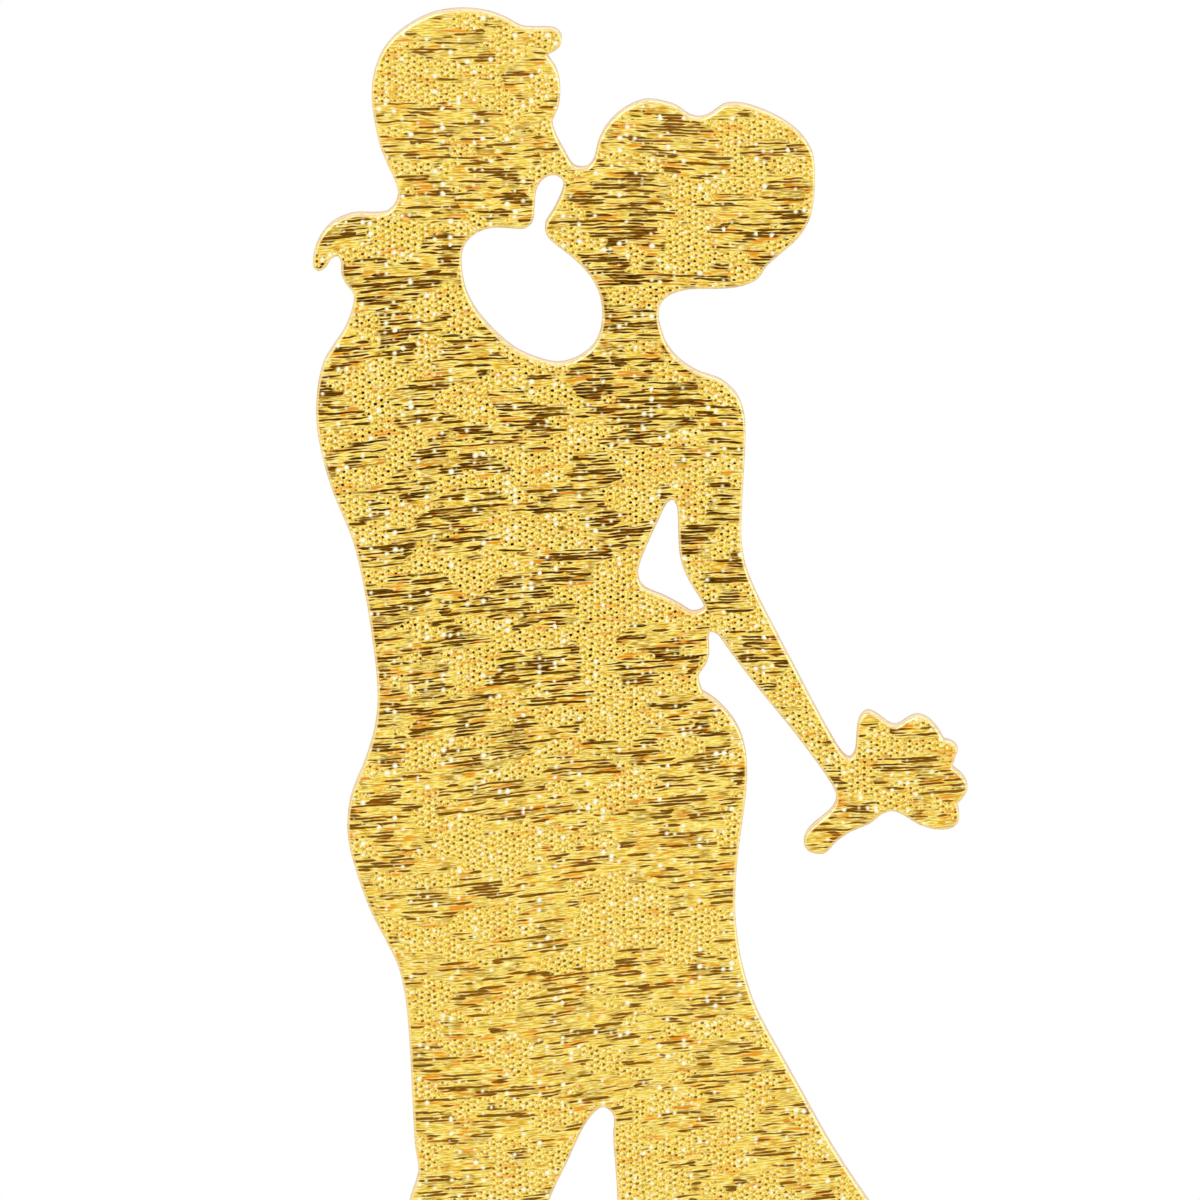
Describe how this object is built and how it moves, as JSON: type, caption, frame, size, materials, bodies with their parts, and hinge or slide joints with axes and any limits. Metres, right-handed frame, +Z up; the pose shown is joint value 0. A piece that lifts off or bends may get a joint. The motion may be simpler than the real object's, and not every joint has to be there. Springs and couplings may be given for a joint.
{
  "type": "wedding cake topper",
  "caption": "Flat gold cake topper: a kissing bride and groom cut out as one silhouette on a ground strip, taped to two wooden sticks that go down into the cake.",
  "frame": {"origin": "middle of the ground strip's underside, where the cut-out rests on the cake", "axes": "+Z up out of the cake, -Y out of the gold front face, +X to the right of someone looking at the gold face"},
  "size_m": [0.082, 0.006, 0.201],
  "materials": {
    "lame": "gold metallic cloth, plain weave with loose floats, glittering",
    "adhesive": "thin milky bonding film",
    "card": "matte, cut edge",
    "paper": "smooth, matte",
    "birch": "sanded, unvarnished",
    "paper_tape": "crepe paper tape, matte"
  },
  "bodies": {
    "root": {"lame_facing": "lame", "bonding_film": "adhesive", "core_board": "card", "back_liner": "paper", "left_stick": "birch", "right_stick": "birch", "left_lower_tape": "paper_tape", "left_upper_tape": "paper_tape", "right_lower_tape": "paper_tape", "right_upper_tape": "paper_tape"}
  },
  "joints": []
}
